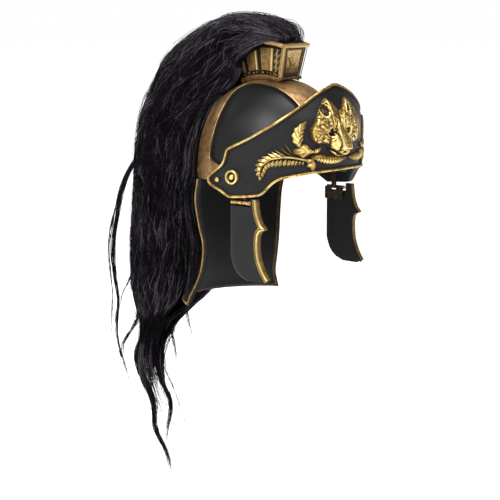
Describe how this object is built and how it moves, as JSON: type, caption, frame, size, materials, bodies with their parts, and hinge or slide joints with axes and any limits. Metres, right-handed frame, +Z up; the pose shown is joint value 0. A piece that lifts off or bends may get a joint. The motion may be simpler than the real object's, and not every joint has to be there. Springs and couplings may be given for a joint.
{
  "type": "roman helmet",
  "caption": "Open-faced Roman parade helmet at a figure's scale, with a peaked brow plate, hinged cheek guards, a long neck guard and a falling hair plume.",
  "frame": {"origin": "inner top of the bowl, where the crown of a head meets it", "axes": "+Z up along the wearer's neck, -Y the way the face looks, +X the wearer's left"},
  "size_m": [0.0384, 0.072, 0.1146],
  "materials": {
    "black_satin": "satin black paint",
    "antique_gold": "gold paint with a dark wash in the hollows",
    "dull_gold": "worn brown gold paint",
    "black_hair": "loose coarse hair with a soft sheen",
    "hinge_pin": "plain wire"
  },
  "bodies": {
    "helmet": {"bowl": "black_satin", "brow_edging": "antique_gold", "brow_plate": "black_satin", "crest_box": "dull_gold", "crown_bands": "dull_gold", "ear_boss_left": "antique_gold", "ear_boss_right": "antique_gold", "ear_stud_left": "antique_gold", "ear_stud_right": "antique_gold", "helmet_hinge_left": "antique_gold", "helmet_hinge_right": "antique_gold", "hinge_pin_left": "hinge_pin", "hinge_pin_right": "hinge_pin", "leaf_spray_left": "antique_gold", "leaf_spray_right": "antique_gold", "neck_edging": "antique_gold", "neck_guard": "black_satin", "plume": "black_hair", "wolf_head": "antique_gold"},
    "cheek_guard_right": {"cheek_guard_right": "black_satin", "cheek_trim_right": "antique_gold", "guard_hinge_right": "antique_gold"},
    "cheek_guard_left": {"cheek_guard_left": "black_satin", "cheek_trim_left": "antique_gold", "guard_hinge_left": "antique_gold"}
  },
  "joints": [
    {"name": "right_cheek_hinge", "type": "hinge", "parent": "helmet", "child": "cheek_guard_right", "pos_m": [-0.01745, -0.00495, -0.025], "axis": [0, 1, 0], "range_deg": [-10, 90]},
    {"name": "left_cheek_hinge", "type": "hinge", "parent": "helmet", "child": "cheek_guard_left", "pos_m": [0.01745, -0.00495, -0.025], "axis": [0, -1, 0], "range_deg": [-10, 90]}
  ]
}
